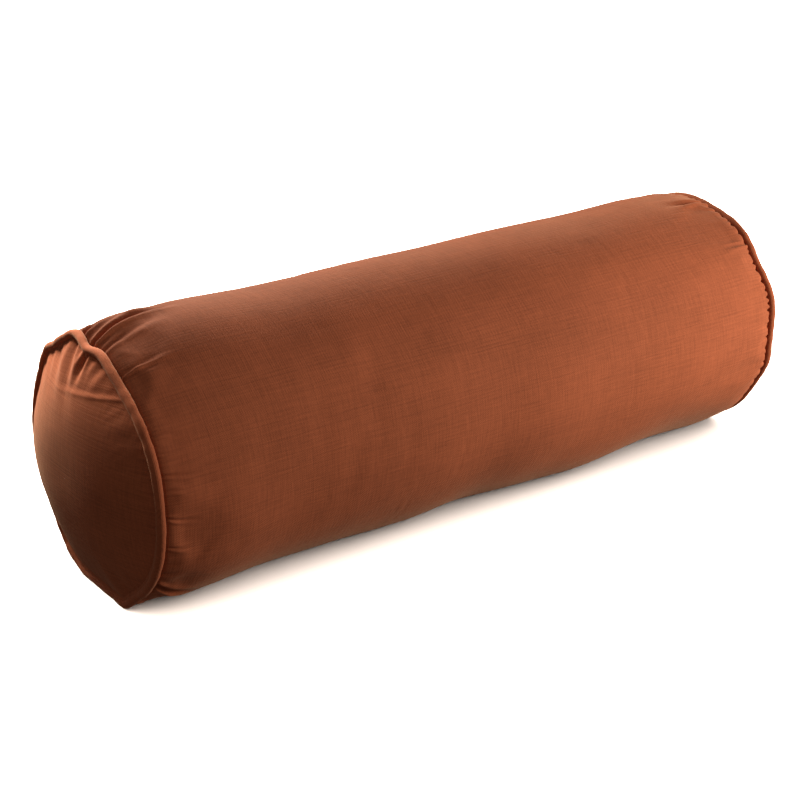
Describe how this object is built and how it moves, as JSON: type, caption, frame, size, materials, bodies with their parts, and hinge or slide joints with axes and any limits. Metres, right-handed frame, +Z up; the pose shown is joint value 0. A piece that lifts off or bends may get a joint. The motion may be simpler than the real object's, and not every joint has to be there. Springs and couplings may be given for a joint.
{
  "type": "bolster pillow",
  "caption": "Firm round bolster pillow: a woven cloth cover with piped end seams and a long zip at the back, over a lined cushion packed with fibre.",
  "frame": {"origin": "middle of the underside, on the surface that the bolster lies on", "axes": "+X along the bolster towards its right end, +Z up, +Y towards the back, where the zip is"},
  "size_m": [0.686, 0.22, 0.2139],
  "materials": {
    "cover_cloth": "rust-coloured hand-woven cotton with slubs along the length, matt",
    "piping_cloth": "the cover's rust-coloured cotton cut on the bias, matt",
    "cotton_cord": "undyed twisted cotton",
    "liner_cloth": "undyed plain-woven cotton",
    "fibre": "packed plant fibre",
    "zip_tape": "rust-brown woven polyester tape",
    "zip_coil": "rust-brown nylon coil",
    "zip_metal": "aged brass, lightly rubbed",
    "label_ribbon": "off-white satin ribbon, blank"
  },
  "bodies": {
    "bolster": {"cover_barrel": "cover_cloth", "cover_end_left": "cover_cloth", "cover_end_right": "cover_cloth", "piping_cloth_left": "piping_cloth", "piping_cloth_right": "piping_cloth", "piping_cord_left": "cotton_cord", "piping_cord_right": "cotton_cord", "liner_barrel": "liner_cloth", "liner_end_left": "liner_cloth", "liner_end_right": "liner_cloth", "fibre_filling": "fibre", "zip_tape_lower": "zip_tape", "zip_tape_upper": "zip_tape", "zip_coil_lower": "zip_coil", "zip_coil_upper": "zip_coil", "zip_top_stop_lower": "zip_metal", "zip_top_stop_upper": "zip_metal", "zip_bottom_stop": "zip_metal", "care_label": "label_ribbon"},
    "zip_slider": {"zip_slider": "zip_metal"},
    "zip_pull": {"zip_pull": "zip_metal"}
  },
  "joints": [
    {"name": "zip_open", "type": "slide", "parent": "bolster", "child": "zip_slider", "axis": [-1, 0, 0], "range_m": [0, 0.467]},
    {"name": "pull_turn", "type": "hinge", "parent": "zip_slider", "child": "zip_pull", "pos_m": [0.234, 0.10714, 0.13931], "axis": [0, 0.309, -0.9511], "range_deg": [0, 180]}
  ]
}
